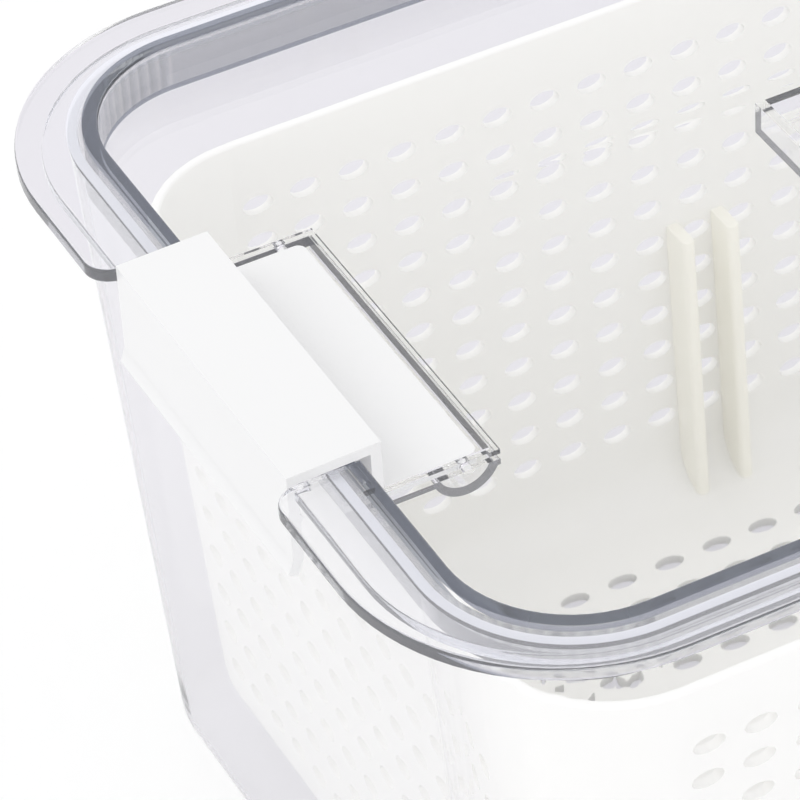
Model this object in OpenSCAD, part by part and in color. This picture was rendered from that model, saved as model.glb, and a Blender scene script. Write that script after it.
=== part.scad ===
// Food storage container: a clear bin, a white basket inside it, and a clear lid with a latch at each end.
// Millimetres, +Z up. The origin is on the table, under the middle of the bin.

/* [Bin] */
// Length over the bin's rim
bin_l = 277; // [250:1:330]
// Width over the bin's rim
bin_w = 187.5; // [170:0.5:230]
// Height from the bin's underside to the top of its rim
bin_h = 146; // [120:1:190]
// Radius of the rim's corners, seen from above
rim_r = 36.5; // [33:0.5:42]
// Thickness of the rim
rim_t = 2.4; // [1.6:0.1:3.4]
// How far the rim stands out from the wall at each short end
rim_end = 6.5; // [6:0.5:9]
// How far the rim stands out from the wall at each long side
rim_side = 2.1; // [1.5:0.1:4]
// Radius of the wall's corners just under the rim
body_r = 29; // [27:0.5:33]
// Thickness of the bin's walls and floor
bin_wall = 2; // [1.5:0.1:2.8]
// Slope of the bin's and the basket's walls, in degrees
draft = 4; // [2:0.5:5]
// Radius of the bin's outer foot edge
bin_foot_r = 9; // [6:0.5:11]

/* [Lid] */
// How far the lid's flange reaches past the bin's rim
lid_over = 4.7; // [3:0.1:6]
// Thickness of the lid's flange, which rests on the rim
flange_t = 2.4; // [2.2:0.1:3.4]
// Gap between the lid's plug and the bin's wall, at the rim
plug_gap = 0.9; // [0.8:0.1:1.5]
// Thickness of the plug's upright wall
plug_wall = 2.9; // [2.4:0.1:4]
// Depth of the sunk panel below the top of the flange
panel_drop = 8.7; // [8:0.1:11]
// Thickness of the sunk panel
panel_t = 2.2; // [1.6:0.1:3]
// Radius of the flange's corners beside a latch
notch_corner_r = 5; // [2:0.5:7]
// Length of the well in the middle of the panel
well_l = 29.5; // [25:0.5:50]
// Width of the well in the middle of the panel
well_w = 51.5; // [35:0.5:70]
// Depth of the well below the panel
well_drop = 7.5; // [4:0.5:9]
// Thickness of the walls of the well and of the latch pockets
pocket_wall = 1.3; // [1:0.1:1.8]
// Height of the frame round a latch pocket above the panel
frame_rise = 1; // [0.9:0.1:1.6]

/* [Latch] */
// Width of a latch across its arm
latch_w = 64.4; // [56:0.2:76]
// Thickness of a latch's strips
latch_t = 2; // [1.6:0.1:2.2]
// Gap at each side of the arm in the lid's notch
latch_gap = 0.4; // [0.3:0.05:0.8]
// Gap between the latch and each side of its pocket
pocket_gap = 0.8; // [0.5:0.1:1.5]
// How far the latch's face stands out past the rim
face_out = 1; // [0.6:0.1:1.6]
// Length of the latch's outer face below the top of the flange
face_h = 19.8; // [17:0.2:25]
// Length of the finger lip at the foot of the face
lip_h = 3; // [2:0.5:4]
// How far the finger lip flares out
lip_out = 1.1; // [0.5:0.1:1.6]
// Distance from the rim's edge to the arm's inner edge
arm_reach = 16.4; // [15.9:0.1:17.4]
// Height of the arm's outer crease above the top of the flange
arm_h = 1.3; // [0.8:0.1:2]
// Further rise of the arm from its outer crease to its inner edge
arm_rise = 0.3; // [0:0.1:1.5]
// Radius of the tail plate's corners, seen from above
tail_r = 1.6; // [0.8:0.1:2.2]
// Distance from the rim's edge to the hinge axis
hinge_in = 30.6; // [29.6:0.1:33]
// Depth of the hinge axis below the top of the flange
hinge_drop = 9.4; // [9.1:0.1:10.4]
// Radius of the barrel under the tail plate, round the hinge axis
barrel_r = 2.2; // [1.8:0.1:2.6]
// Radius of the trunnions at the barrel's ends
trunnion_r = 1; // [0.8:0.05:1.2]
// Running clearance of a trunnion in its bearing, on the radius
trunnion_fit = 0.06; // [0.03:0.01:0.09]
// Reach of the tail's tip from the hinge axis
tip_reach = 3.5; // [3:0.1:4.5]
// Gap between the tail's tip and the round trough under it
trough_gap = 1.6; // [0.6:0.1:2]
// Gap between the closed latch and what it lies over
rest_gap = 0.4; // [0.3:0.05:0.8]
// How far the catch ridge stands in from the face
catch_h = 0.5; // [0.2:0.05:0.5]

/* [Basket] */
// Depth of the basket's rim below the bin's rim
basket_drop = 22.6; // [18:0.1:40]
// Gap between the basket's rim and the bin at each short end
basket_gap_end = 8.5; // [3:0.1:10]
// Gap between the basket's rim and the bin at each long side
basket_gap_side = 4.3; // [2:0.1:6]
// Radius of the basket's corners at its rim
basket_r = 24; // [20:0.5:28]
// Thickness of the basket's walls and floor
basket_wall = 2; // [1.4:0.1:2.6]
// Radius of the basket's outer foot edge
basket_foot_r = 11; // [8:0.5:13]
// Height of the feet that hold the basket off the bin's floor
foot_h = 5; // [3:0.5:8]
// Radius of a foot
foot_r = 6; // [4:0.5:8]
// Distance from the basket's middle to its feet, along the basket
foot_x = 80; // [40:1:90]
// Distance from the basket's middle to its feet, across the basket
foot_y = 42; // [20:1:50]
// Thickness of the divider guides, along the basket
guide_t = 2.8; // [2:0.2:4]
// How far a guide stands out from the wall
guide_out = 7; // [4:0.5:9]
// Distance between the two guides of a pair
guide_pitch = 10; // [8:0.5:14]
// Height of a guide's top above the basket's floor
guide_h = 61.7; // [40:0.1:80]

/* [Perforations] */
// Length of a hole
hole_l = 6; // [4:0.1:7]
// Height of a hole
hole_h = 4; // [2.6:0.1:5]
// Columns of holes in each long wall
side_columns = 19; // [5:1:19]
// Rows of holes in each long wall
side_rows = 11; // [3:1:11]
// Distance between the columns in the long walls
side_pitch = 10.15; // [9:0.05:10.4]
// Distance between the rows in the long walls
side_row_pitch = 8.33; // [6:0.01:8.6]
// Depth of the long walls' top row below the basket's rim
side_drop = 14.4; // [8:0.1:16]
// Columns of holes in each end wall
end_columns = 14; // [4:1:14]
// Rows of holes in each end wall
end_rows = 8; // [3:1:8]
// Distance between the columns in the end walls
end_pitch = 8.6; // [7.5:0.1:8.7]
// Distance between the rows in the end walls
end_row_pitch = 10; // [7:0.1:10.2]
// Depth of the end walls' top row below the basket's rim
end_drop = 29; // [12:0.5:30]
// Columns of holes in the floor
floor_columns = 19; // [5:1:19]
// Rows of holes in the floor
floor_rows = 14; // [4:1:14]
// Distance between the columns in the floor
floor_pitch = 10.7; // [8:0.1:10.8]
// Distance between the rows in the floor
floor_row_pitch = 8.15; // [6:0.05:8.3]

/* [Hidden] */
$fn = 64;
cut = 1;
foot_steps = 7;
clear = [0.86, 0.88, 0.93, 0.45];
white = [0.96, 0.96, 0.95];
slope = tan(draft);
// Bin wall, just under the rim
body_l = bin_l - 2 * rim_end;
body_w = bin_w - 2 * rim_side;
cavity_l = body_l - 2 * bin_wall;
cavity_w = body_w - 2 * bin_wall;
// Lid levels and plans, from the rim that it rests on
lid_top = bin_h + flange_t;
panel_z = lid_top - panel_drop;
lid_l = bin_l + 2 * lid_over;
lid_w = bin_w + 2 * lid_over;
plug_l = cavity_l - 2 * plug_gap;
plug_w = cavity_w - 2 * plug_gap;
plug_r = body_r - bin_wall - plug_gap;
recess_l = plug_l - 2 * plug_wall;
recess_w = plug_w - 2 * plug_wall;
// Latch and its pocket, at the left end
hinge_x = -bin_l / 2 + hinge_in;
hinge_z = lid_top - hinge_drop;
pocket_w = latch_w + 2 * pocket_gap;
trough_r = tip_reach + trough_gap;
pocket_end_x = hinge_x + trough_r;
pocket_floor_z = hinge_z - latch_t / 2 - rest_gap;
frame_z = panel_z + frame_rise;
notch_w = latch_w + 2 * latch_gap;
// The rim is cut back under the latch, so that the swinging face passes it
face_swing = hinge_in + face_out - latch_t;
catch_swing = face_swing - catch_h - rest_gap;
seat_depth = hinge_in - sqrt(pow(catch_swing, 2) - pow(hinge_drop - flange_t, 2));
// Basket levels and plans, from the bin that it stands in
basket_top = bin_h - basket_drop;
basket_z = bin_wall + foot_h;
basket_h = basket_top - basket_z;
basket_l = to_tenth(cavity_l - 2 * basket_drop * slope - 2 * basket_gap_end);
basket_w = to_tenth(cavity_w - 2 * basket_drop * slope - 2 * basket_gap_side);

function to_tenth(x) = round(10 * x) / 10;

// A plate with round corners, standing on z = 0
module rounded_plate(l, w, r, t) {
  linear_extrude(t) rounded_outline(l, w, r);
}

module rounded_outline(l, w, r) {
  square([l, w - 2 * r], center = true);
  square([l - 2 * r, w], center = true);
  for (x = [-1, 1], y = [-1, 1])
    translate([x * (l / 2 - r), y * (w / 2 - r)]) circle(r);
}

// Half of a tub's section, from x = back out to a sloping side with a round foot. Its reach is given at height h.
module tub_section(reach, h, foot, rise, back) {
  centre_x = reach - (foot + (h - foot) * sin(draft)) / cos(draft);
  foot_arc = [
    for (i = [0:foot_steps])
      let (a = -90 + i * (90 - draft) / foot_steps)
        [centre_x + foot * cos(a), foot * (1 + sin(a))]
  ];
  polygon(concat([[back, 0]], foot_arc, [[reach + rise * slope, h + rise], [back, h + rise]]));
}

// A straight stretch of a tub, along Y
module tub_slab(length, width, r, h, foot, rise) {
  rotate([90, 0, 0])
    linear_extrude(length, center = true)
      for (side = [0, 1])
        mirror([side, 0])
          translate([width / 2 - r, 0]) tub_section(r, h, foot, rise, r - width / 2);
}

// A tub's closed form with sloping walls and a rounded foot. Its plan l x w and corner radius r are at height h.
module tub_form(l, w, r, h, foot, rise = 0) {
  union() {
    tub_slab(w - 2 * r, l, r, h, foot, rise);
    rotate(90) tub_slab(l - 2 * r, w, r, h, foot, rise);
    for (sx = [0, 1], sy = [0, 1])
      mirror([sx, 0]) mirror([0, sy])
        translate([l / 2 - r, w / 2 - r])
          rotate_extrude(angle = 90) tub_section(r, h, foot, rise, 0);
  }
}

module both_ends() {
  for (side = [0, 1]) mirror([side, 0]) children();
}

module bin() {
  color(clear)
    difference() {
      union() {
        tub_form(body_l, body_w, body_r, bin_h, bin_foot_r);
        translate([0, 0, bin_h - rim_t]) rounded_plate(bin_l, bin_w, rim_r, rim_t);
      }
      translate([0, 0, bin_wall])
        tub_form(cavity_l, cavity_w, body_r - bin_wall, bin_h - bin_wall, bin_foot_r - bin_wall, cut);
      both_ends()
        translate([-bin_l / 2 - cut, -notch_w / 2, bin_h - rim_t - cut])
          cube([seat_depth + cut, notch_w, rim_t + 2 * cut]);
    }
}

// What is cut from the flange's outline for a latch, with the corners beside it rounded
module notch_outline() {
  outer_x = -lid_l / 2;
  depth = (lid_l - recess_l) / 2;
  translate([outer_x - cut, -notch_w / 2]) square([depth + 2 * cut, notch_w]);
  for (side = [0, 1])
    mirror([0, side])
      translate([outer_x, notch_w / 2])
        difference() {
          translate([-cut, -cut]) square(notch_corner_r + cut);
          translate([notch_corner_r, notch_corner_r]) circle(notch_corner_r);
        }
}

// The round trough that the tail's tip swings through, as a solid of radius r
module trough(r, length) {
  translate([hinge_x, 0, hinge_z])
    rotate([90, 0, 0]) cylinder(r = r, h = length, center = true);
}

// Outside of one latch pocket, below and a little above the panel
module pocket_shell() {
  w = pocket_w + 2 * pocket_wall;
  floor_z = pocket_floor_z - pocket_wall;
  translate([-recess_l / 2 - plug_wall / 2, -w / 2, floor_z])
    cube([pocket_end_x + pocket_wall + recess_l / 2 + plug_wall / 2, w, frame_z - floor_z]);
  intersection() {
    trough(trough_r + pocket_wall, w);
    translate([-bin_l / 2, -w / 2, 0]) cube([bin_l / 2, w, frame_z]);
  }
}

// Inside of one latch pocket, open upwards
module pocket_hollow() {
  translate([-recess_l / 2, -pocket_w / 2, pocket_floor_z])
    cube([pocket_end_x + recess_l / 2, pocket_w, panel_drop + hinge_drop]);
  trough(trough_r, pocket_w);
  trough(trunnion_r + trunnion_fit, pocket_w + 2 * pocket_wall + 2 * cut);
}

// The well in the middle of the panel, as a closed box grown by its wall
module well_box(grow) {
  translate([-well_l / 2 - grow, -well_w / 2 - grow, panel_z - well_drop - grow])
    cube([well_l + 2 * grow, well_w + 2 * grow, well_drop + grow]);
}

module lid() {
  plug_z = panel_z - panel_t;
  color(clear)
    difference() {
      union() {
        translate([0, 0, bin_h]) rounded_plate(lid_l, lid_w, rim_r + lid_over, flange_t);
        translate([0, 0, plug_z]) rounded_plate(plug_l, plug_w, plug_r, lid_top - plug_z);
        both_ends() pocket_shell();
        well_box(pocket_wall);
      }
      difference() {
        translate([0, 0, panel_z])
          rounded_plate(recess_l, recess_w, plug_r - plug_wall, panel_drop + cut);
        both_ends() pocket_shell();
      }
      both_ends() {
        translate([0, 0, bin_h]) linear_extrude(flange_t + cut) notch_outline();
        pocket_hollow();
      }
      well_box(0);
    }
}

// Direction square to the step between two points, to its left
function left_of(a, b) = [a[1] - b[1], b[0] - a[0]] / norm(b - a);

// Half the thickness of a strip at point i of its middle line, square to the line or along the corner's mitre
function half_width(line, i) =
  let (
    last = len(line) - 1,
    before = left_of(line[max(i - 1, 0)], line[max(i, 1)]),
    after = left_of(line[min(i, last - 1)], line[min(i + 1, last)])
  )
  latch_t / 2 * (before + after) / (1 + before * after);

// The outline of a bent strip, from the points of its middle line
module bent_strip(line) {
  polygon(concat(
    [for (i = [0:len(line) - 1]) line[i] + half_width(line, i)],
    [for (i = [len(line) - 1:-1:0]) line[i] - half_width(line, i)]
  ));
}

// Places in the latch's profile are x from the hinge axis and y from the top of the flange
function from_rim(x) = x - hinge_in;

module latch_left() {
  half = latch_t / 2;
  face_x = from_rim(half - face_out);
  leg_x = from_rim(arm_reach - half);
  outer_z = arm_h - half;
  tip_l = to_tenth(sqrt(pow(tip_reach, 2) - pow(half, 2)));
  color(white)
    translate([hinge_x, 0, lid_top])
      rotate([90, 0, 0]) {
        difference() {
          linear_extrude(latch_w, center = true) {
            bent_strip([
              [face_x - lip_out, -face_h],
              [face_x, lip_h - face_h],
              [face_x, outer_z],
              [leg_x, outer_z + arm_rise],
              [leg_x, -hinge_drop],
              [tip_l, -hinge_drop]
            ]);
            translate([face_x + catch_h, -hinge_drop]) circle(half);
            translate([0, -hinge_drop])
              intersection() {
                circle(barrel_r);
                translate([-barrel_r - cut, -barrel_r - cut]) square([2 * (barrel_r + cut), barrel_r + cut]);
              }
          }
          for (side = [0, 1])
            mirror([0, 0, side])
              translate([tip_l, -hinge_drop, latch_w / 2]) plate_corner();
        }
        translate([0, -hinge_drop])
          cylinder(r = trunnion_r, h = pocket_w + 2 * pocket_wall, center = true);
      }
}

// What is cut from a corner of the tail plate, at its tip
module plate_corner() {
  rotate([90, 0, 0])
    linear_extrude(latch_t + cut, center = true)
      difference() {
        translate([-tail_r, -tail_r]) square(tail_r + cut);
        translate([-tail_r, -tail_r]) circle(tail_r);
      }
}

module latch_right() {
  mirror([1, 0, 0]) latch_left();
}

// One divider guide: a fin with a round nose that leans with the basket's long wall and has a level top
module guide() {
  nose = guide_t / 2;
  difference() {
    translate([0, basket_w / 2 - basket_wall, basket_h])
      rotate([-draft, 0, 0])
        translate([0, 0, -basket_h]) linear_extrude(basket_h) {
          translate([-nose, nose - guide_out]) square([guide_t, guide_out - nose + basket_wall / 2]);
          translate([0, nose - guide_out]) circle(nose);
        }
    translate([-guide_t, 0, basket_wall + guide_h]) cube([2 * guide_t, basket_w, basket_h]);
  }
}

// Places along a row of holes that is centred on 0
function row_places(count, pitch) = [for (i = [0:count - 1]) (i - (count - 1) / 2) * pitch];

// The holes of the two long walls, each prism passing through both
module side_holes() {
  for (x = row_places(side_columns, side_pitch), row = [0:side_rows - 1])
    translate([x, 0, basket_h - side_drop - row * side_row_pitch])
      cube([hole_l, basket_w + cut, hole_h], center = true);
}

// The holes of the two end walls, each prism passing through both
module end_holes() {
  for (y = row_places(end_columns, end_pitch), row = [0:end_rows - 1])
    translate([0, y, basket_h - end_drop - row * end_row_pitch])
      cube([basket_l + cut, hole_l, hole_h], center = true);
}

// The holes of the floor, apart from those that a foot would close
module floor_holes() {
  for (x = row_places(floor_columns, floor_pitch), y = row_places(floor_rows, floor_row_pitch))
    if (norm([abs(x) - foot_x, abs(y) - foot_y]) > foot_r + hole_l / 2)
      translate([x, y, basket_wall / 2]) cube([hole_l, hole_h, basket_wall + cut], center = true);
}

module basket() {
  color(white)
    translate([0, 0, basket_z]) {
      difference() {
        tub_form(basket_l, basket_w, basket_r, basket_h, basket_foot_r);
        side_holes();
        end_holes();
        floor_holes();
        difference() {
          translate([0, 0, basket_wall])
            tub_form(
              basket_l - 2 * basket_wall, basket_w - 2 * basket_wall, basket_r - basket_wall,
              basket_h - basket_wall, basket_foot_r - basket_wall, cut
            );
          for (side = [0, 1], x = [-1, 1])
            mirror([0, side]) translate([x * guide_pitch / 2, 0]) guide();
        }
      }
      for (x = [-foot_x, foot_x], y = [-foot_y, foot_y])
        translate([x, y, -foot_h]) cylinder(r = foot_r, h = foot_h + basket_wall);
    }
}

bin();
basket();
lid();
latch_left();
latch_right();
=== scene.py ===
"""Looks of a clear food storage container with a white basket, a clear lid and two white latches."""

import logging
import math
from dataclasses import dataclass, field
from enum import Enum

import bmesh
import bpy
from mathutils import Matrix, Vector


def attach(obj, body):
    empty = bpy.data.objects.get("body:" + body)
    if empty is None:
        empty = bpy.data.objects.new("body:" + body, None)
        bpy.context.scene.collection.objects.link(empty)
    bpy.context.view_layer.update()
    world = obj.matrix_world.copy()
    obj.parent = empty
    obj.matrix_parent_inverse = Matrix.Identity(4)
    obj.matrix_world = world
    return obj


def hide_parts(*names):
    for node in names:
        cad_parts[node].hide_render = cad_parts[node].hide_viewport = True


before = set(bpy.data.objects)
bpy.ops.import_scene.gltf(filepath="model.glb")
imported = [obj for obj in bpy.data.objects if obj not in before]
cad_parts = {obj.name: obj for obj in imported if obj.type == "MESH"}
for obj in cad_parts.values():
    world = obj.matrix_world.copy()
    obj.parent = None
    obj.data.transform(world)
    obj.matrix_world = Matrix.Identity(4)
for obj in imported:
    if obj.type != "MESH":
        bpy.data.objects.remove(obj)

LOG = logging.getLogger("container")
MM = 0.001
NEAR = 1e-4  # two places closer than this, in millimetres, are the same
SQUARE = 1e-3  # a normal's part below this counts as none
LEVEL = 0.999  # a normal's upright part above this counts as level ground
UPRIGHT = 0.1  # a normal's upright part below this counts as a wall
SHARP = 0.7  # edges that turn by more than this, in radians, get rounded
ORIGIN = (0.0, 0.0, 0.0)


class Body(Enum):
    """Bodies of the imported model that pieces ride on."""

    CONTAINER = "container"
    LATCH_LEFT = "latch_left"
    LATCH_RIGHT = "latch_right"


class Slot(Enum):
    """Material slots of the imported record."""

    CLEAR = "clear_plastic"
    BASKET = "basket_white"
    LATCH = "latch_white"


class Value:
    """One shader socket, with arithmetic that adds Math nodes."""

    def __init__(self, graph: "Graph", socket: bpy.types.NodeSocket) -> None:
        """Wraps a socket.

        Args:
            graph: The node graph that the socket belongs to.
            socket: The output socket.
        """
        self.graph = graph
        self.socket = socket

    def _math(self, operation: str, first: object, second: object) -> "Value":
        """One Math node on two values."""
        return self.graph.node("ShaderNodeMath", {"operation": operation}, {0: first, 1: second})

    def __add__(self, other: object) -> "Value":
        """Sum."""
        return self._math("ADD", self, other)

    __radd__ = __add__

    def __sub__(self, other: object) -> "Value":
        """Difference."""
        return self._math("SUBTRACT", self, other)

    def __rsub__(self, other: object) -> "Value":
        """Difference, reflected."""
        return self._math("SUBTRACT", other, self)

    def __mul__(self, other: object) -> "Value":
        """Product."""
        return self._math("MULTIPLY", self, other)

    __rmul__ = __mul__


class Graph:
    """The node graph of one material or world."""

    def __init__(self, tree: bpy.types.NodeTree) -> None:
        """Clears a node tree for building.

        Args:
            tree: The node tree of a material or a world.
        """
        self.tree = tree
        tree.nodes.clear()

    def node(self, kind: str, settings: dict, inputs: dict, output: object = 0) -> Value:
        """Adds one node.

        Args:
            kind: The node's type.
            settings: Properties that are set first.
            inputs: Values or links, by socket name or number.
            output: Name or number of the socket that is returned.

        Returns:
            The chosen output.
        """
        made = self.tree.nodes.new(kind)
        for key, setting in settings.items():
            setattr(made, key, setting)
        for key, given in inputs.items():
            if isinstance(given, Value):
                self.tree.links.new(given.socket, made.inputs[key])
            else:
                made.inputs[key].default_value = given
        return Value(self, made.outputs[output] if made.outputs else None)

    def place(self) -> Value:
        """Object coordinates, in metres."""
        return self.node("ShaderNodeTexCoord", {}, {}, "Object")

    def noise(self, where: Value, scale: float, detail: float = 2.0) -> Value:
        """Soft noise from 0 to 1.

        Args:
            where: Coordinates.
            scale: Noise cells in a metre.
            detail: Octaves.

        Returns:
            The noise's value.
        """
        return self.node("ShaderNodeTexNoise", {}, {"Vector": where, "Scale": scale, "Detail": detail})

    def colours(self, share: Value, first: object, second: object) -> Value:
        """A colour between two, each a link or three numbers, by a share from 0 to 1."""
        ends = [end if isinstance(end, Value) else (*end, 1.0) for end in (first, second)]
        inputs = {"Factor": share, 6: ends[0], 7: ends[1]}
        return self.node("ShaderNodeMix", {"data_type": "RGBA"}, inputs, 2)

    def blend(self, share: object, first: Value, second: Value) -> Value:
        """A surface between two, by a share from 0 to 1."""
        return self.node("ShaderNodeMixShader", {}, {0: share, 1: first, 2: second})

    def larger(self, first: Value, second: Value) -> Value:
        """The larger of two values."""
        return self.node("ShaderNodeMath", {"operation": "MAXIMUM"}, {0: first, 1: second})

    def ray(self, kind: str) -> Value:
        """Whether a ray is of the kind that Light Path names."""
        return self.node("ShaderNodeLightPath", {}, {}, kind)

    def outside(self, where: Value, half: tuple[float, float, float]) -> Value:
        """How far a place lies outside a block about the origin.

        Args:
            where: Object coordinates.
            half: Half sizes of the block, in metres.

        Returns:
            The distance, which is 0 inside the block.
        """
        past = self.vector("SUBTRACT", self.vector("ABSOLUTE", where), half)
        return self.vector("LENGTH", self.vector("MAXIMUM", past, ORIGIN))

    def vector(self, operation: str, first: object, second: object = ORIGIN) -> Value:
        """One Vector Math node; a length comes out as a value."""
        output = 1 if operation == "LENGTH" else 0
        return self.node("ShaderNodeVectorMath", {"operation": operation}, {0: first, 1: second}, output)

    def step(self, value: Value, low: float, high: float) -> Value:
        """A smooth share that rises from 0 at low to 1 at high."""
        settings = {"interpolation_type": "SMOOTHSTEP"}
        inputs = {"Value": value, "From Min": low, "From Max": high}
        return self.node("ShaderNodeMapRange", settings, inputs)

    def bump(self, height: Value, strength: float, distance: float) -> Value:
        """A normal from a height in the same scale as distance."""
        inputs = {"Height": height, "Strength": strength, "Distance": distance}
        return self.node("ShaderNodeBump", {}, inputs)


@dataclass(frozen=True)
class WhitePlastic:
    """White moulded plastic, with a faint mould grain and a slow change of tone."""

    name: str
    pale: tuple[float, float, float]
    deep: tuple[float, float, float]
    rough: float = 0.32
    tone_scale: float = 14.0
    grain_scale: float = 2600.0
    cloud_scale: float = 90.0
    relief: float = 0.00004

    def material(self) -> bpy.types.Material:
        """Builds the material.

        Returns:
            The material.
        """
        made = bpy.data.materials.new(self.name)
        made.use_nodes = True
        graph = Graph(made.node_tree)
        where = graph.place()
        tone = graph.noise(where, self.tone_scale)
        grain = graph.noise(where, self.grain_scale, 3.0)
        cloud = graph.noise(where, self.cloud_scale, 3.0)
        shader = graph.node(
            "ShaderNodeBsdfPrincipled",
            {},
            {
                "Base Color": graph.colours(tone, self.pale, self.deep),
                "Roughness": cloud * 0.12 + (self.rough - 0.06),
                "Normal": graph.bump(grain * 0.6 + cloud * 0.4, 0.12, self.relief),
                "IOR": 1.46,
            },
        )
        graph.node("ShaderNodeOutputMaterial", {}, {"Surface": shader})
        return made


@dataclass(frozen=True)
class PaintedShadeBand:
    """A ring in plan, of even width inside a rounded rectangle, in metres, that marks where clear plastic
    gets painted shade.
    """

    half_length: float
    half_width: float
    corner: float
    width: float
    soft: float = 0.00012

    def share(self, graph: Graph, where: Value) -> Value:
        """How far a place lies in the ring, from 0 to 1.

        Args:
            graph: The material's graph.
            where: Object coordinates.

        Returns:
            The share.
        """
        away = graph.outside(where, (self.half_length - self.corner, self.half_width - self.corner, 1.0))
        inner, outer = self.corner - self.width, self.corner
        past_inner = graph.step(away, inner - self.soft, inner + self.soft)
        past_outer = graph.step(away, outer - self.soft, outer + self.soft)
        return past_inner * (1.0 - past_outer)


@dataclass(frozen=True)
class ClearPlastic:
    """Clear moulded plastic, with a band of painted shade, dark or pale grey, where an upright wall is seen
    end on.
    """

    name: str
    band: PaintedShadeBand
    tint: tuple[float, float, float] = (0.98, 0.98, 0.985)
    tint_change: float = 0.02
    milk: tuple[float, float, float, float] = (0.80, 0.81, 0.87, 1.0)
    passed_on: tuple[float, float, float, float] = (0.99, 0.99, 0.995, 1.0)
    wave: float = 0.04
    wave_height: float = 0.0006
    haze: float = 0.04
    # The last three fields set the painted end-on shade: the height under which it stops, its colour, and
    # how much milky diffuse goes into it.
    lowest: float = 0.0
    painted_end_on_shade: tuple[float, float, float] = (0.11, 0.125, 0.16)
    painted_band_milk_share: float = 0.0

    def material(self) -> bpy.types.Material:
        """Builds the material.

        Returns:
            The material.
        """
        made = bpy.data.materials.new(self.name)
        made.use_nodes = True
        graph = Graph(made.node_tree)
        where = graph.place()
        flow = graph.noise(where, 22.0, 1.0)
        haze = graph.noise(where, 240.0, 3.0)
        height = graph.node("ShaderNodeSeparateXYZ", {}, {0: where}, "Z")
        # share: where the painted end-on shade goes, on the wall's ring above the lowest height
        share = self.band.share(graph, where) * graph.step(height, self.lowest - 0.0002, self.lowest)
        paler = tuple(min(1.0, part + self.tint_change) for part in self.tint)
        glass = graph.node(
            "ShaderNodeBsdfPrincipled",
            {},
            {
                # painted end-on shade on the ring, over the plastic's faint tint
                "Base Color": graph.colours(share, graph.colours(flow, self.tint, paler), self.painted_end_on_shade),
                "Roughness": haze * 0.03 + 0.005,
                "Normal": graph.bump(flow, self.wave, self.wave_height),
                "Transmission Weight": 1.0,
                "IOR": 1.49,
            },
        )
        milk = graph.node("ShaderNodeBsdfDiffuse", {}, {"Color": self.milk})
        # more milky diffuse in the painted band, and a little all over for haze
        cloudy = graph.blend(share * self.painted_band_milk_share + self.haze, glass, milk)
        gone = graph.node("ShaderNodeBsdfTransparent", {}, {"Color": self.passed_on})
        passed = graph.larger(graph.ray("Is Shadow Ray"), graph.ray("Is Diffuse Ray"))
        graph.node("ShaderNodeOutputMaterial", {}, {"Surface": graph.blend(passed, cloudy, gone)})
        return made


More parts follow.
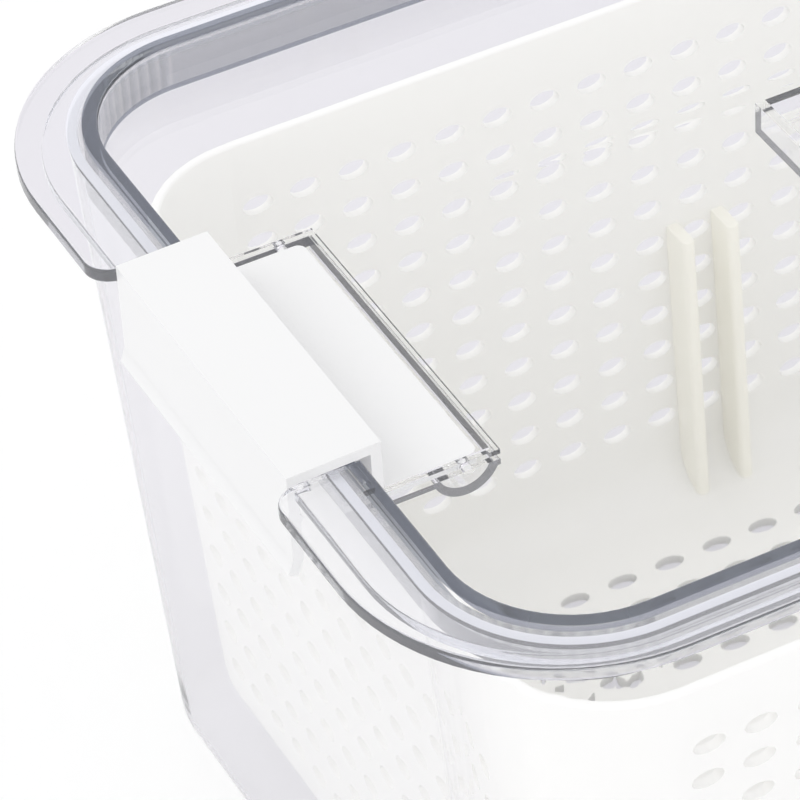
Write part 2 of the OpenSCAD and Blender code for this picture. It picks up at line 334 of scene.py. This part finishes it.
class Shape:
    """A mesh in the making, in millimetres in the part's frame."""

    def __init__(self) -> None:
        """Starts an empty mesh."""
        self.mesh = bmesh.new()

    def post(self, centre: tuple, radius: float, low: float, high: float, bevel: float) -> None:
        """Adds an upright round post with softened ends.

        Args:
            centre: Place of its axis, along x and y.
            radius: Its radius.
            low: Height of its lower end.
            high: Height of its upper end.
            bevel: Width of the softened edges.
        """
        place = Matrix.Translation((centre[0], centre[1], (low + high) / 2))
        made = bmesh.ops.create_cone(
            self.mesh,
            cap_ends=True,
            segments=40,
            radius1=radius,
            radius2=radius,
            depth=high - low,
            matrix=place,
        )["verts"]
        rims = [e for e in edges_of(made) if abs(e.verts[0].co.z - e.verts[1].co.z) < 1e-6]
        self.soften(rims, bevel, 2)

    def soften(self, edges: list, width: float, segments: int) -> None:
        """Bevels edges with a round profile."""
        bmesh.ops.bevel(
            self.mesh,
            geom=edges,
            offset=width,
            segments=segments,
            profile=0.5,
            affect="EDGES",
            material=-1,
            clamp_overlap=True,
        )

    def adopt(self, node: str) -> None:
        """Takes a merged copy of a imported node's mesh, with its flat faces joined.

        Args:
            node: Name of the node.
        """
        bm = self.mesh
        bm.from_mesh(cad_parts[node].data)
        bmesh.ops.scale(bm, vec=(1 / MM, 1 / MM, 1 / MM), verts=bm.verts[:])
        self.weld(2e-3)
        bmesh.ops.dissolve_limit(
            bm,
            angle_limit=math.radians(0.5),
            use_dissolve_boundaries=False,
            verts=bm.verts[:],
            edges=bm.edges[:],
        )

    def trim(self, point: tuple, normal: tuple) -> list:
        """Cuts away what lies beyond a plane and closes the opening.

        Args:
            point: A point on the plane.
            normal: The plane's normal, which points to what goes.

        Returns:
            The edges round the new face.
        """
        bm = self.mesh
        geom = [*bm.verts, *bm.edges, *bm.faces]
        cut = bmesh.ops.bisect_plane(
            bm, geom=geom, dist=1e-5, plane_co=point, plane_no=normal, clear_outer=True
        )
        rim = [e for e in cut["geom_cut"] if isinstance(e, bmesh.types.BMEdge)]
        bmesh.ops.holes_fill(bm, edges=rim, sides=0)
        return rim

    def add(self, other: "Shape") -> None:
        """Adds another shape's mesh and frees it."""
        data = bpy.data.meshes.new("part")
        other.mesh.to_mesh(data)
        other.mesh.free()
        self.mesh.from_mesh(data)
        bpy.data.meshes.remove(data)

    def cut(self, faces: list, point: tuple, normal: tuple) -> None:
        """Cuts some faces with a plane."""
        faces = [f for f in faces if f.is_valid]
        near = {e for f in faces for e in f.edges} | {v for f in faces for v in f.verts}
        bmesh.ops.bisect_plane(self.mesh, geom=[*faces, *near], dist=1e-5, plane_co=point, plane_no=normal)

    def weld(self, distance: float = NEAR) -> None:
        """Merges doubled vertices."""
        bmesh.ops.remove_doubles(self.mesh, verts=self.mesh.verts[:], dist=distance)

    def piece(
        self,
        name: str,
        material: bpy.types.Material,
        angle: float = 35.0,
        even: bool = False,
        other: bpy.types.Material | None = None,
    ) -> bpy.types.Object:
        """Turns the mesh into a finished object in metres.

        Args:
            name: Name of the object.
            material: Its material.
            angle: Edges sharper than this stay sharp, in degrees.
            even: Whether large flat faces keep their own normals up to their edges.
            other: A second material, for the faces with index 1.

        Returns:
            The object.
        """
        bmesh.ops.scale(self.mesh, vec=(MM, MM, MM), verts=self.mesh.verts[:])
        data = bpy.data.meshes.new(name)
        for face in self.mesh.faces:
            face.smooth = True
        self.mesh.to_mesh(data)
        self.mesh.free()
        data.set_sharp_from_angle(angle=math.radians(angle))
        data.materials.append(material)
        if other:
            data.materials.append(other)
        made = bpy.data.objects.new(name, data)
        bpy.context.scene.collection.objects.link(made)
        if even:
            weigh = made.modifiers.new("even normals", "WEIGHTED_NORMAL")
            weigh.keep_sharp = True
            weigh.weight = 80
        return made


def edges_of(vertices: list) -> list:
    """The edges that join the given vertices to each other."""
    chosen = set(vertices)
    return list({e for v in vertices for e in v.link_edges if e.other_vert(v) in chosen})


def report(piece: bpy.types.Object) -> None:
    """Logs a finished piece and its count of faces."""
    LOG.info("%s: %d faces", piece.name, len(piece.data.polygons))


@dataclass
class HoleGrid:
    """Rows of oval holes on one flat panel, in millimetres."""

    columns: int
    pitch: float
    rows: int
    row_pitch: float
    length: float
    height: float


@dataclass
class Basket:
    """The white perforated basket with its guides and feet."""

    finish: WhitePlastic
    guide_finish: WhitePlastic
    top: float = 123.4
    bottom: float = 7.0
    length: float = 239.8
    width: float = 167.5
    corner: float = 24.0
    wall: float = 2.0
    foot_round: float = 11.0
    slope: float = math.tan(math.radians(4.0))
    foot_height: float = 5.0
    foot_radius: float = 6.0
    foot_x: float = 80.0
    foot_y: float = 42.0
    guide_thick: float = 2.8
    guide_out: float = 7.0
    guide_half_pitch: float = 5.0
    guide_height: float = 61.7
    guide_tip_round: float = 0.4
    side_top_row: float = 109.0
    end_top_row: float = 94.4
    floor_reach: float = 101.0
    rim_round: float = 0.6
    whole_cell: float = 0.12
    sides: HoleGrid = field(default_factory=lambda: HoleGrid(19, 10.15, 11, 8.33, 6.4, 4.0))
    ends: HoleGrid = field(default_factory=lambda: HoleGrid(14, 8.6, 8, 10.0, 5.4, 4.4))
    floor: HoleGrid = field(default_factory=lambda: HoleGrid(19, 10.7, 14, 8.15, 6.4, 3.6))

    @property
    def height(self) -> float:
        """Height of the basket without its feet."""
        return self.top - self.bottom

    @property
    def strip(self) -> float:
        """Width of the middle column of cells, which lies across the plane x = 0."""
        return self.sides.pitch

    def reach(self, half: float, z: float) -> float:
        """How far the outer wall stands from the middle at a height, from its half size at the rim."""
        return half - (self.top - z) * self.slope

    def skin(self, shape: Shape) -> None:
        """Builds the outer skin: a profile spun round each corner, with straight walls and a floor between.

        Args:
            shape: The mesh that it is added to.
        """
        bm = shape.mesh
        lean = math.atan(self.slope)
        foot = self.foot_round
        centre = self.corner - (foot + (self.height - foot) * math.sin(lean)) / math.cos(lean)
        start = bm.verts.new((centre, 0.0, 0.0))
        arc = bmesh.ops.spin(
            bm,
            geom=[start],
            cent=(centre, 0.0, foot),
            axis=(0.0, -1.0, 0.0),
            angle=math.pi / 2 - lean,
            steps=8,
        )["geom_last"]
        end = next(v for v in arc if isinstance(v, bmesh.types.BMVert))
        top = bm.verts.new((self.corner, 0.0, self.height))
        bm.edges.new((end, top))
        bm.edges.new((bm.verts.new((0.0, 0.0, 0.0)), start))
        profile = [*bm.verts, *bm.edges]
        bmesh.ops.spin(bm, geom=profile, cent=ORIGIN, axis=(0.0, 0.0, 1.0), angle=math.pi / 2, steps=10)
        shape.weld()
        inner = (self.length / 2 - self.corner, self.width / 2 - self.corner)
        bmesh.ops.translate(bm, vec=(*inner, self.bottom), verts=bm.verts[:])
        for axis, place in enumerate(inner):
            edges = [e for e in bm.edges if all(abs(v.co[axis] - place) < NEAR for v in e.verts)]
            edges = [e for e in edges if all(v.co[1 - axis] > inner[1 - axis] - NEAR for v in e.verts)]
            moved = bmesh.ops.extrude_edge_only(bm, edges=edges)["geom"]
            step = [0.0, 0.0, 0.0]
            step[axis] = self.strip / 2 - place if axis == 0 else -place
            bmesh.ops.translate(bm, vec=step, verts=[v for v in moved if isinstance(v, bmesh.types.BMVert)])
        shape.weld()
        corner = bm.verts.new((self.strip / 2, 0.0, self.bottom))
        ends = [v for v in bm.verts if abs(v.co.z - self.bottom) < NEAR and v is not corner]
        along = min((v for v in ends if abs(v.co.x - self.strip / 2) < NEAR), key=lambda v: v.co.y)
        across = min((v for v in ends if abs(v.co.y) < NEAR), key=lambda v: v.co.x)
        pole = min(ends, key=lambda v: (v.co - Vector((*inner, self.bottom))).length)
        bm.faces.new((corner, across, pole, along))
        ground = [f for f in bm.faces if all(abs(v.co.z - self.bottom) < NEAR for v in f.verts)]
        bmesh.ops.recalc_face_normals(bm, faces=bm.faces[:])
        bmesh.ops.dissolve_faces(bm, faces=ground, use_verts=False)

    def thicken(self, shape: Shape) -> None:
        """Gives the skin its wall, inwards, with closed edges at the holes and the rim.

        Args:
            shape: The basket's skin.
        """
        bm = shape.mesh
        bmesh.ops.recalc_face_normals(bm, faces=bm.faces[:])
        if next(f for f in bm.faces if self.in_floor(f)).normal.z > 0:
            bmesh.ops.reverse_faces(bm, faces=bm.faces[:])
        bm.normal_update()
        inward = {v.co.to_tuple(4): -v.normal for v in bm.verts}
        grown = bmesh.ops.extrude_face_region(bm, geom=bm.faces[:], use_keep_orig=True)["geom"]
        for vertex in grown:
            if isinstance(vertex, bmesh.types.BMVert):
                vertex.co += inward[vertex.co.to_tuple(4)] * self.wall
        if bm.calc_volume(signed=True) < 0:
            bmesh.ops.reverse_faces(bm, faces=bm.faces[:])

    def divide(self, shape: Shape, axis: int, grid: HoleGrid, across: list, chosen: object) -> None:
        """Cuts a grid of cells into flat panels.

        Args:
            shape: The basket's skin.
            axis: Axis that the columns run along, 0 or 1.
            grid: The pattern.
            across: Points on the planes between rows, with the planes' normal.
            chosen: Tells whether a face belongs to the panels.
        """
        run = [0.0, 0.0, 0.0]
        run[axis] = 1.0
        end = max(v.co[axis] for f in shape.mesh.faces if chosen(f) for v in f.verts)
        shift = grid.columns % 2 / 2
        for k in range(1, grid.columns // 2 + 1):
            place = min((k + shift) * grid.pitch, end - 0.15)
            shape.cut([f for f in shape.mesh.faces if chosen(f)], tuple(place * r for r in run), tuple(run))
        for point, normal in across:
            shape.cut([f for f in shape.mesh.faces if chosen(f)], point, normal)

    def perforate(self, shape: Shape, axis: int, grid: HoleGrid, chosen: object) -> None:
        """Opens an oval hole in each whole cell of a grid.

        Args:
            shape: The basket's skin.
            axis: Axis that the columns run along, 0 or 1.
            grid: The pattern.
            chosen: Tells whether a cell gets a hole, if it is whole.
        """
        bm = shape.mesh
        side = Vector((1.0, 0.0, 0.0) if axis == 0 else (0.0, 1.0, 0.0))
        cell = grid.pitch * grid.row_pitch
        size = Matrix.Diagonal((grid.length / 2, grid.height / 2, 1.0, 1.0))
        for face in [f for f in bm.faces if len(f.verts) == 4 and chosen(f)]:
            if abs(face.calc_area() / cell - 1) > self.whole_cell:
                continue
            normal = face.normal.copy()
            turn = Matrix((side, normal.cross(side).normalized(), normal)).transposed().to_4x4()
            place = Matrix.Translation(face.calc_center_median())
            rim = face.edges[:]
            bmesh.ops.delete(bm, geom=[face], context="FACES_ONLY")
            oval = place @ turn @ size
            ring = bmesh.ops.create_circle(bm, cap_ends=False, segments=12, radius=1.0, matrix=oval)
            edges = [*rim, *edges_of(ring["verts"])]
            bmesh.ops.triangle_fill(bm, use_beauty=True, edges=edges, normal=normal)

    def in_side(self, face: bmesh.types.BMFace) -> bool:
        """Whether a face lies in a long wall's flat part."""
        return abs(face.normal.x) < SQUARE and abs(face.normal.z) < UPRIGHT

    def in_end(self, face: bmesh.types.BMFace) -> bool:
        """Whether a face lies in an end wall's flat part."""
        return abs(face.normal.y) < SQUARE and abs(face.normal.z) < UPRIGHT

    def in_floor(self, face: bmesh.types.BMFace) -> bool:
        """Whether a face lies in the floor."""
        return abs(face.normal.z) > LEVEL

    def in_middle(self, face: bmesh.types.BMFace) -> bool:
        """Whether a face lies in the middle column."""
        return abs(face.calc_center_median().x) < 0.1

    def open_floor(self, face: bmesh.types.BMFace) -> bool:
        """Whether a floor cell gets a hole: not at the floor's edge and not over a foot."""
        p = face.calc_center_median()
        foot = math.hypot(abs(p.x) - self.foot_x, abs(p.y) - self.foot_y)
        inside = abs(p.x) < self.floor_reach and abs(p.y) < self.floor.rows / 2 * self.floor.row_pitch
        return self.in_floor(face) and inside and foot > self.foot_radius + self.floor.length / 2

    def walls(self, shape: Shape) -> None:
        """Builds the perforated skin: one quarter, mirrored, with the middle column of cells between.

        Args:
            shape: The mesh that it is added to.
        """
        bm = shape.mesh
        self.skin(shape)
        self.divide(shape, 0, self.sides, self.rows(self.side_top_row, self.sides), self.in_side)
        self.divide(shape, 1, self.ends, self.rows(self.end_top_row, self.ends), self.in_end)
        half = self.floor.rows // 2
        across = [((0.0, k * self.floor.row_pitch, 0.0), (0.0, 1.0, 0.0)) for k in range(1, half + 1)]
        self.divide(shape, 0, self.floor, across, self.in_floor)
        self.perforate(shape, 0, self.sides, self.in_side)
        self.perforate(shape, 1, self.ends, self.in_end)
        self.perforate(shape, 0, self.floor, self.open_floor)
        bmesh.ops.mirror(bm, geom=[*bm.verts, *bm.edges, *bm.faces], axis="X", merge_dist=-1.0)
        edge = [
            e
            for e in bm.edges
            if len(e.link_faces) == 1 and all(abs(v.co.x - self.strip / 2) < NEAR for v in e.verts)
        ]
        moved = bmesh.ops.extrude_edge_only(bm, edges=edge)["geom"]
        new = [v for v in moved if isinstance(v, bmesh.types.BMVert)]
        bmesh.ops.translate(bm, vec=(-self.strip, 0, 0), verts=new)
        shape.weld()
        bm.normal_update()
        self.perforate(shape, 0, self.sides, lambda f: self.in_side(f) and self.in_middle(f))
        self.perforate(shape, 0, self.floor, lambda f: self.open_floor(f) and self.in_middle(f))
        bmesh.ops.mirror(bm, geom=[*bm.verts, *bm.edges, *bm.faces], axis="Y", merge_dist=-1.0)
        shape.weld()

    def build(self) -> bpy.types.Object:
        """Builds the basket.

        Returns:
            The finished piece.
        """
        shape = Shape()
        bm = shape.mesh
        self.walls(shape)
        self.thicken(shape)
        rim = [
            e
            for e in bm.edges
            if all(abs(v.co.z - self.top) < 0.2 for v in e.verts)
            and len(e.link_faces) == 2
            and e.calc_face_angle(0.0) > 1.0
        ]
        shape.soften(rim, self.rim_round, 3)
        shape.add(self.guides())
        low, high = self.bottom - self.foot_height + 0.05, self.bottom + self.wall * 0.5
        for x in (-self.foot_x, self.foot_x):
            for y in (-self.foot_y, self.foot_y):
                shape.post((x, y), self.foot_radius, low, high, self.rim_round)
        piece = shape.piece("basket_dressed", self.finish.material(), other=self.guide_finish.material())
        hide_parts("basket")
        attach(piece, Body.CONTAINER.value)
        report(piece)
        return piece

    def rows(self, first: float, grid: HoleGrid) -> list:
        """Level planes between the rows of a wall, from its top row's height."""
        heights = [first + grid.row_pitch * (0.5 - k) for k in range(grid.rows + 1)]
        return [((0.0, 0.0, height), (0.0, 0.0, 1.0)) for height in heights]

    def guides(self) -> Shape:
        """Builds the two pairs of divider guides: fins with a round nose that lean with the wall.

        Returns:
            The four fins.
        """
        fin = Shape()
        bm = fin.mesh
        lean = math.atan(self.slope)
        depth = self.guide_out + self.wall / 2
        size = Matrix.Diagonal((self.guide_thick, depth, self.height, 1.0))
        made = bmesh.ops.create_cube(bm, size=1.0, matrix=size)["verts"]
        front = [e for e in edges_of(made) if all(v.co.y < 0 for v in e.verts)]
        front = [e for e in front if abs(e.verts[0].co.z - e.verts[1].co.z) > 1]
        fin.soften(front, self.guide_thick * 0.48, 5)
        wall = self.reach(self.width / 2, self.top) - self.wall
        place = (
            Matrix.Translation((self.guide_half_pitch, wall, self.top))
            @ Matrix.Rotation(-lean, 4, "X")
            @ Matrix.Translation((0.0, self.wall / 2 - depth / 2, -self.height / 2))
        )
        bmesh.ops.transform(bm, matrix=place, verts=bm.verts[:])
        high = self.bottom + self.wall + self.guide_height
        rim = fin.trim((0.0, 0.0, high), (0.0, 0.0, 1.0))
        fin.soften(rim, self.guide_tip_round, 2)
        fin.trim((0.0, 0.0, self.bottom + self.wall / 2), (0.0, 0.0, -1.0))
        foot = self.foot_round
        centre = self.width / 2 - (foot + (self.height - foot) * math.sin(lean)) / math.cos(lean)
        part = (foot - self.wall / 2) * math.sqrt(0.5)
        fin.trim((0.0, centre + part, self.bottom + foot - part), (0.0, 1.0, -1.0))
        for axis in ("X", "Y"):
            bmesh.ops.mirror(bm, geom=[*bm.verts, *bm.edges, *bm.faces], axis=axis, merge_dist=-1.0)
        bmesh.ops.recalc_face_normals(bm, faces=bm.faces[:])
        for face in bm.faces:
            face.material_index = 1
        return fin


def is_edge(edge: bmesh.types.BMEdge, convex: bool, low: float = -1.0, high: float = 1000.0) -> bool:
    """Whether an edge turns sharply, outwards or inwards, and lies between two heights.

    Args:
        edge: The edge.
        convex: True for an edge that stands out, False for one in a corner.
        low: Least height of its ends, in millimetres.
        high: Greatest height of its ends.

    Returns:
        True if the edge is such a one.
    """
    if len(edge.link_faces) != 2 or edge.is_convex != convex or edge.calc_face_angle(0.0) < SHARP:
        return False
    return all(low < v.co.z < high for v in edge.verts)


@dataclass
class Bin:
    """The clear bin. Its rim stands just under the lid's flange, so that they don't share a plane."""

    finish: ClearPlastic
    air: float = 0.12
    rim_depth: float = 4.0
    rim_round: float = 0.35

    def build(self) -> None:
        """Builds the bin."""
        shape = Shape()
        shape.adopt("bin")
        top = max(v.co.z for v in shape.mesh.verts)
        crown = [v for v in shape.mesh.verts if v.co.z > top - 0.01]
        bmesh.ops.translate(shape.mesh, vec=(0, 0, -self.air), verts=crown)
        rim = [e for e in shape.mesh.edges if is_edge(e, True, top - self.rim_depth)]
        shape.soften(rim, self.rim_round, 2)
        piece = shape.piece("bin_dressed", self.finish.material(), 30.0, True)
        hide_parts("bin")
        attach(piece, Body.CONTAINER.value)
        report(piece)


@dataclass
class Lid:
    """The clear lid, with its edges rounded."""

    finish: ClearPlastic
    edge_round: float = 0.6
    under_round: float = 1.1
    frame_round: float = 0.25
    flange: float = 2.4
    frame_depth: float = 9.0
    margin: float = 0.1

    def build(self) -> None:
        """Builds the lid."""
        shape = Shape()
        shape.adopt("lid")
        top = max(v.co.z for v in shape.mesh.verts)
        under = top - self.flange
        low = [e for e in shape.mesh.edges if is_edge(e, True, under - self.margin, under + self.margin)]
        shape.soften(low, self.under_round, 4)
        high = [e for e in shape.mesh.edges if is_edge(e, True, top - self.margin)]
        shape.soften(high, self.edge_round, 3)
        frame_top = under - 2 * self.margin
        rest = [e for e in shape.mesh.edges if is_edge(e, True, top - self.frame_depth, frame_top)]
        shape.soften(rest, self.frame_round, 2)
        piece = shape.piece("lid_dressed", self.finish.material(), 30.0, True)
        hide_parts("lid")
        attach(piece, Body.CONTAINER.value)
        report(piece)


@dataclass
class Latches:
    """The two white latches, with softened edges."""

    finish: WhitePlastic
    edge_round: float = 0.6

    def build(self) -> None:
        """Builds both latches."""
        material = self.finish.material()
        for body in (Body.LATCH_LEFT, Body.LATCH_RIGHT):
            shape = Shape()
            shape.adopt(body.value)
            shape.soften([e for e in shape.mesh.edges if is_edge(e, True)], self.edge_round, 3)
            piece = shape.piece(f"{body.value}_dressed", material, 35.0, True)
            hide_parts(body.value)
            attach(piece, body.value)
            report(piece)


@dataclass
class Studio:
    """A white table and surroundings, dimmer through clear plastic and there with a painted shadow round
    the object, with soft lamps and the camera.
    """

    eye: tuple[float, float, float] = (-0.39362, -0.61490, 0.70282)
    right: tuple[float, float, float] = (0.8833, -0.46595, -0.05164)
    up: tuple[float, float, float] = (0.33672, 0.55393, 0.76143)
    lens: float = 234.1
    ambient: float = 1.06
    backdrop: tuple[float, float, float] = (0.80, 0.785, 0.83)
    # under and beyond: tones of a painted shadow that the table shows to rays through clear plastic, from
    # right round the object out to where it has faded
    under: tuple[float, float, float] = (0.42, 0.40, 0.405)
    beyond: tuple[float, float, float] = (0.73, 0.71, 0.755)
    painted_shadow_footprint: tuple[float, float, float] = (0.125, 0.08, 1.0)
    painted_shadow_spread: float = 0.085
    seen_glow: float = 0.7
    through_glow: float = 0.1
    table_half: float = 4000.0
    table_drop: float = 0.2

    def camera(self) -> None:
        """Puts the camera where the photograph was taken from."""
        data = bpy.data.cameras.new("camera")
        data.lens = self.lens
        data.sensor_width = 36.0
        data.clip_start = 0.01
        made = bpy.data.objects.new("camera", data)
        bpy.context.scene.collection.objects.link(made)
        right, up = Vector(self.right).normalized(), Vector(self.up)
        up = (up - right * up.dot(right)).normalized()
        turn = Matrix((right, up, right.cross(up))).transposed().to_4x4()
        made.matrix_world = Matrix.Translation(self.eye) @ turn
        bpy.context.scene.camera = made

    def world(self) -> None:
        """White surroundings, seen white and giving soft light."""
        world = bpy.data.worlds.new("studio")
        world.use_nodes = True
        bpy.context.scene.world = world
        graph = Graph(world.node_tree)
        strength = graph.ray("Is Camera Ray") * (1.0 - self.ambient) + self.ambient
        tone = graph.colours(graph.ray("Is Transmission Ray"), (1.0, 1.0, 1.0), self.backdrop)
        sky = graph.node("ShaderNodeBackground", {}, {"Color": tone, "Strength": strength})
        graph.node("ShaderNodeOutputWorld", {}, {"Surface": sky})

    def table(self) -> None:
        """A white table top that shows the object's shadow, and, to rays through clear plastic, a painted
        shadow that darkens it round where the object stands.
        """
        shape = Shape()
        place = Matrix.Translation((0.0, 0.0, -self.table_drop))
        bmesh.ops.create_grid(shape.mesh, x_segments=1, y_segments=1, size=self.table_half, matrix=place)
        made = bpy.data.materials.new("table")
        made.use_nodes = True
        graph = Graph(made.node_tree)
        where = graph.place()
        through = graph.ray("Is Transmission Ray")
        white = graph.larger(graph.ray("Is Camera Ray"), graph.ray("Is Glossy Ray"))
        grain = graph.colours(graph.noise(where, 3.0), (0.9, 0.9, 0.9), (0.88, 0.88, 0.885))
        # a painted shadow, seen only through clear plastic: darkest right round the object, fading over a
        # set distance
        away = graph.outside(where, self.painted_shadow_footprint)
        shade = graph.colours(graph.step(away, 0.0, self.painted_shadow_spread), self.under, self.beyond)
        matt = graph.node("ShaderNodeBsdfDiffuse", {}, {"Color": graph.colours(through, grain, shade)})
        glow = graph.colours(through, (1.0, 1.0, 1.0), self.backdrop)
        lit = graph.node("ShaderNodeEmission", {}, {"Color": glow, "Strength": 1.0})
        both = graph.blend(white * self.seen_glow + through * self.through_glow, matt, lit)
        graph.node("ShaderNodeOutputMaterial", {}, {"Surface": both})
        shape.piece("table", made)

    def lamp(self, name: str, place: tuple, size: float, power: float) -> None:
        """Adds one large soft lamp that looks at the object.

        Args:
            name: Name of the lamp.
            place: Where it hangs, in metres.
            size: Width of its panel.
            power: Its power in watts.
        """
        data = bpy.data.lights.new(name, "AREA")
        data.shape = "SQUARE"
        data.size = size
        data.energy = power
        made = bpy.data.objects.new(name, data)
        bpy.context.scene.collection.objects.link(made)
        aim = Vector((0.0, 0.0, 0.1)) - Vector(place)
        made.matrix_world = Matrix.Translation(place) @ aim.to_track_quat("-Z", "Y").to_matrix().to_4x4()

    def build(self) -> None:
        """Sets the whole stage."""
        bpy.context.scene.view_settings.view_transform = "Standard"
        self.camera()
        self.world()
        self.table()
        self.lamp("key", (-1.1, 0.5, 1.3), size=0.9, power=4.0)
        self.lamp("fill", (-0.2, -1.5, 0.4), size=0.9, power=2.0)


def main() -> None:
    """Builds the scene: the studio and the dressed pieces, each logged with its count of faces."""
    logging.basicConfig(level=logging.INFO, format="%(name)s: %(message)s")
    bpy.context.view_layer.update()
    Studio().build()
    # bin: a pale grey painted shade, part diffuse, over its wall's top end
    wall = PaintedShadeBand(half_length=0.132, half_width=0.09165, corner=0.029, width=0.0021)
    Bin(ClearPlastic("bin_plastic", wall, lowest=0.1445, painted_end_on_shade=(0.9, 0.9, 0.92), painted_band_milk_share=0.7)).build()
    # lid: the dark painted shade by default, over its plug wall's top end
    plug = PaintedShadeBand(half_length=0.1291, half_width=0.08875, corner=0.0261, width=0.0029)
    Lid(ClearPlastic("lid_plastic", plug)).build()
    Latches(WhitePlastic("latch_plastic", (0.80, 0.80, 0.805), (0.78, 0.78, 0.785))).build()
    ivory = WhitePlastic("guide_plastic", (0.99, 0.975, 0.88), (0.985, 0.965, 0.865), 0.4)
    Basket(WhitePlastic("basket_plastic", (0.945, 0.94, 0.91), (0.935, 0.93, 0.90), 0.4), ivory).build()


if __name__ == "__main__":
    main()
